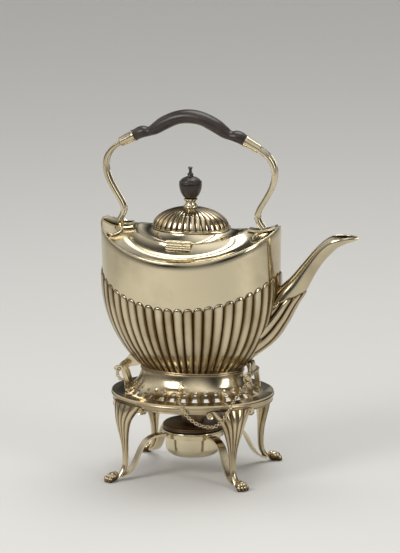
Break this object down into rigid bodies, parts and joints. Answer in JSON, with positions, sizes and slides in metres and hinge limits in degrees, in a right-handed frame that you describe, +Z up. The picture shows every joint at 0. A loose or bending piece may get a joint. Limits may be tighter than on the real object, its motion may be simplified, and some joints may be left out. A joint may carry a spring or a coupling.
{
  "type": "spirit kettle on stand",
  "caption": "Half-fluted oval silver kettle with a spout, hinged lid and overhead wooden grip, tilting on a pierced four-legged stand with a spirit burner.",
  "frame": {"origin": "on the table, under the middle of the whole length from the kettle's left rim to the spout's tip, and midway between front and back", "axes": "+X along the kettle towards the spout's tip, +Y towards the back (the lid's hinge is at the front), +Z up"},
  "size_m": [0.2441, 0.1313, 0.3397],
  "materials": {
    "silver": "polished silver with a warm tarnish",
    "dark_wood": "dark stained and polished",
    "copper_brass": "heat-toned, satin",
    "blackened_iron": "sooted",
    "cotton": "woven wick"
  },
  "bodies": {
    "stand": {"stand_top": "silver", "plate_moulding": "silver", "apron": "silver", "burner_ring": "silver", "leg_front_left": "silver", "leg_front_right": "silver", "leg_back_left": "silver", "leg_back_right": "silver", "paw_front_left": "silver", "paw_front_right": "silver", "paw_back_left": "silver", "paw_back_right": "silver", "brace_front_left": "silver", "brace_front_right": "silver", "brace_back_left": "silver", "brace_back_right": "silver", "pivot_ears": "silver", "lock_ears": "silver", "chain_anchors": "silver", "lock_chain": "silver", "pivot_chain": "silver"},
    "kettle": {"kettle_body": "silver", "shoulder": "silver", "hinge_fixed": "silver", "hinge_pin": "silver", "spout": "silver", "bracket_left": "silver", "bracket_right": "silver", "ferrule_left": "silver", "ferrule_right": "silver", "grip": "dark_wood", "rivets": "silver", "lock_tongue": "silver", "pivot_barrel": "silver"},
    "lid": {"lid_plate": "silver", "lid_bezel": "silver", "lid_dome": "silver", "finial_base": "silver", "finial": "dark_wood", "finial_nut": "silver", "hinge_moving": "silver"},
    "burner": {"burner_bowl": "silver", "burner_cover": "blackened_iron", "burner_collar": "copper_brass", "wick_plate": "copper_brass", "wick_tube": "copper_brass", "wick": "cotton"},
    "lock_pin": {"lock_pin": "silver"},
    "pivot_pin": {"pivot_pin": "silver"}
  },
  "joints": [
    {"name": "kettle_tilt", "type": "hinge", "parent": "stand", "child": "kettle", "pos_m": [0.0191, 0, 0.0972], "axis": [0, 1, 0], "range_deg": [0, 45]},
    {"name": "lid_hinge", "type": "hinge", "parent": "kettle", "child": "lid", "pos_m": [-0.0379, -0.0382, 0.2239], "axis": [1, 0, 0], "range_deg": [0, 100]},
    {"name": "burner_lift", "type": "slide", "parent": "stand", "child": "burner", "axis": [0, 0, 1], "range_m": [0, 0.03]},
    {"name": "lock_pin_slide", "type": "slide", "parent": "stand", "child": "lock_pin", "axis": [0, 1, 0], "range_m": [0, 0.009], "deforming": ["lock_chain"]},
    {"name": "pivot_pin_slide", "type": "slide", "parent": "stand", "child": "pivot_pin", "axis": [0, -1, 0], "range_m": [0, 0.036], "deforming": ["pivot_chain"]}
  ]
}
